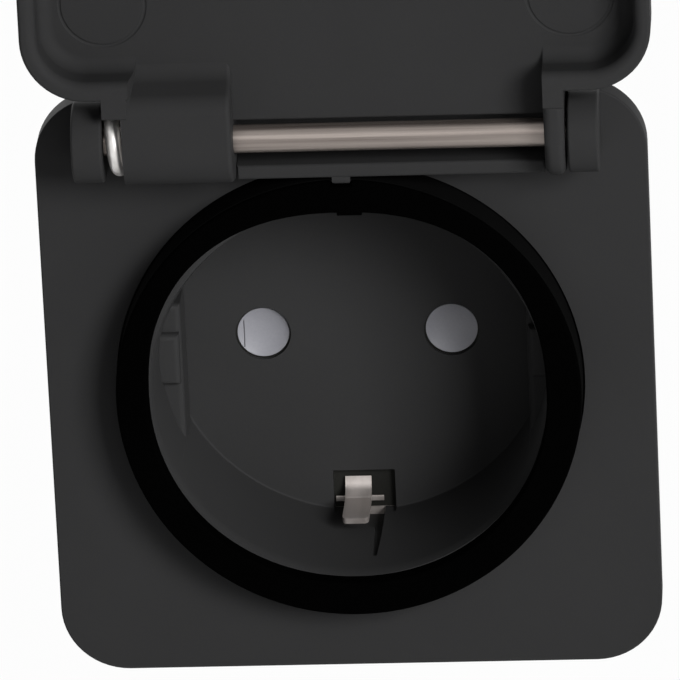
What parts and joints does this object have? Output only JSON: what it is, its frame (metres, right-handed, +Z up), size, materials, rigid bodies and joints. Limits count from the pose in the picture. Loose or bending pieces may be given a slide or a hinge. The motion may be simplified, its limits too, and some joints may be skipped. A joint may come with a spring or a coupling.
{
  "type": "outdoor plug-in socket",
  "caption": "Square plug-in outdoor socket: hinged lid, sealed round recess with side earth clips and shutter, radio-switched, round body with a plug behind.",
  "frame": {"origin": "midway between the plug pins, on the end face of the plug", "axes": "+Y along the plug pins, into the wall; +Z up; +X to the right of a person facing the recess"},
  "size_m": [0.0614, 0.0934, 0.1182],
  "materials": {
    "housing_plastic": "fine spark-eroded texture, matte",
    "recess_plastic": "satin moulded plastic",
    "carrier_plastic": "plain moulded plastic",
    "black_rubber": "matte moulded rubber",
    "button_plastic": "satin moulded plastic",
    "component_black": "plain moulded plastic",
    "shutter_plastic": "satin moulded plastic",
    "nickel": "bright nickel plate",
    "shaft_steel": "ground and plated rod",
    "spring_steel": "drawn wire",
    "screw_steel": "zinc plated",
    "brass": "stamped strip",
    "board_green": "solder mask",
    "relay_blue": "moulded case",
    "capacitor_yellow": "moulded case",
    "varistor_blue": "dipped coating",
    "fuse_glass": "clear tube",
    "shield_can": "tinned sheet",
    "led_white": "moulded lens",
    "lens_white": "milky light pipe"
  },
  "bodies": {
    "housing": {"front_shell": "housing_plastic", "socket_cup": "recess_plastic", "seal_ring": "black_rubber", "earth_bracket": "nickel", "contact_carrier": "carrier_plastic", "contact_left": "brass", "contact_right": "brass", "circuit_board": "board_green", "relay": "relay_blue", "capacitor": "capacitor_yellow", "varistor": "varistor_blue", "fuse": "fuse_glass", "radio_module": "shield_can", "push_switch": "component_black", "button_seal": "black_rubber", "status_led": "led_white", "status_lens": "lens_white", "shell_gasket": "black_rubber", "rear_shell": "housing_plastic", "plug_pin_left": "nickel", "plug_pin_right": "nickel", "pin_link_left": "brass", "pin_link_right": "brass", "plug_earth": "nickel", "earth_link": "brass", "housing_screws": "screw_steel", "hinge_shaft": "shaft_steel", "hinge_spring": "spring_steel", "shutter_spring": "spring_steel"},
    "lid": {"lid": "housing_plastic"},
    "shutter": {"shutter": "shutter_plastic"},
    "button": {"power_button": "button_plastic", "switch_plunger": "carrier_plastic"}
  },
  "joints": [
    {"name": "lid_hinge", "type": "hinge", "parent": "housing", "child": "lid", "pos_m": [0, -0.0701, 0.0278], "axis": [1, 0, 0], "range_deg": [0, 182], "deforming": ["hinge_spring"]},
    {"name": "shutter_turn", "type": "hinge", "parent": "housing", "child": "shutter", "pos_m": [0, -0.0502, 0], "axis": [0, 1, 0], "range_deg": [0, 42], "stiffness_Nm_per_rad": 0.01, "deforming": ["shutter_spring"]},
    {"name": "button_press", "type": "slide", "parent": "housing", "child": "button", "axis": [0, 0, 1], "range_m": [0, 0.0006], "stiffness_N_per_m": 1000}
  ]
}
